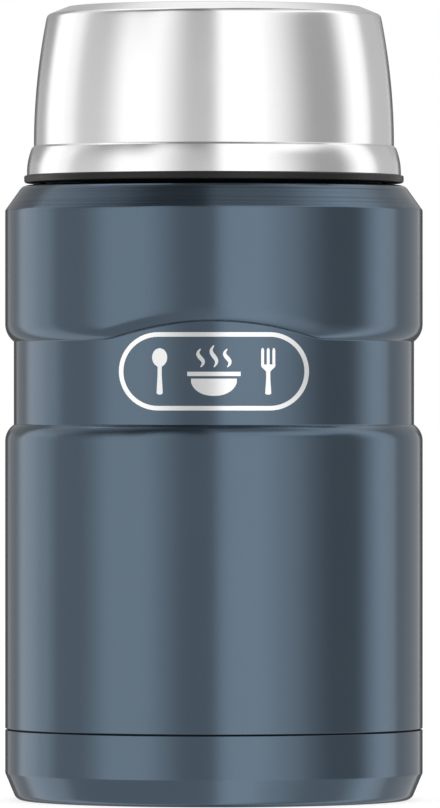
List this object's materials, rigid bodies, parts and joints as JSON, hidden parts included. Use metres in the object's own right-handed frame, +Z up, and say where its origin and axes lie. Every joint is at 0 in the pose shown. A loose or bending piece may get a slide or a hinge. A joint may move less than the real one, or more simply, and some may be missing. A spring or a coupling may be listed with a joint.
{
  "type": "insulated food jar",
  "caption": "Vacuum-insulated steel food jar with a grip band, a screw stopper with a relief button, and a steel serving bowl that screws on over it as the lid.",
  "frame": {"origin": "centre of the base, on the surface that the jar stands on", "axes": "+Z up along the jar's axis; the front, with the arch over the grip band, faces -Y"},
  "size_m": [0.099, 0.099, 0.188],
  "materials": {
    "body_paint": "slate blue metallic lacquer over steel",
    "satin_steel": "satin, drawn stainless steel",
    "steel": "electropolished stainless steel",
    "black_plastic": "black polypropylene",
    "grey_plastic": "grey polypropylene",
    "silicone": "grey silicone",
    "foam": "expanded foam",
    "foil": "bright foil",
    "getter_metal": "sintered pellet",
    "seal_glass": "dark sealing glass",
    "spring_wire": "bright spring wire"
  },
  "bodies": {
    "jar": {"outer_shell": "body_paint", "base_cup": "body_paint", "outer_base": "steel", "evacuation_plug": "seal_glass", "getter_pellet": "getter_metal", "getter_clip": "steel", "radiation_foil": "foil", "inner_vessel": "steel", "inner_base": "steel", "neck_collar": "black_plastic"},
    "bowl_carrier": {"bowl_liner": "steel"},
    "bowl": {"bowl_shell": "satin_steel", "bowl_rim": "black_plastic"},
    "stopper_carrier": {"stopper_gasket": "silicone"},
    "stopper": {"stopper_body": "black_plastic", "stopper_cap": "black_plastic", "stopper_insulation": "foam", "relief_spring": "spring_wire"},
    "relief_valve": {"relief_button": "grey_plastic", "relief_seal": "silicone"}
  },
  "joints": [
    {"name": "bowl_rise", "type": "slide", "parent": "jar", "child": "bowl_carrier", "axis": [0, 0, 1], "range_m": [0, 0.0401]},
    {"name": "bowl_turn", "type": "hinge", "parent": "bowl_carrier", "child": "bowl", "pos_m": [0, 0, 0.1506], "axis": [0, 0, 1], "range_deg": [0, 900]},
    {"name": "stopper_rise", "type": "slide", "parent": "jar", "child": "stopper_carrier", "axis": [0, 0, 1], "range_m": [0, 0.0187]},
    {"name": "stopper_turn", "type": "hinge", "parent": "stopper_carrier", "child": "stopper", "pos_m": [0, 0, 0.151], "axis": [0, 0, 1], "range_deg": [0, 558]},
    {"name": "relief_press", "type": "slide", "parent": "stopper", "child": "relief_valve", "axis": [0, 0, -1], "range_m": [0, 0.002], "stiffness_N_per_m": 400, "springref_m": -0.003, "deforming": ["relief_spring"]}
  ],
  "couplings": [
    {"joint": "bowl_rise", "follows": "bowl_turn", "m_per_rad": 0.0025465},
    {"joint": "stopper_rise", "follows": "stopper_turn", "m_per_rad": 0.0019099}
  ]
}
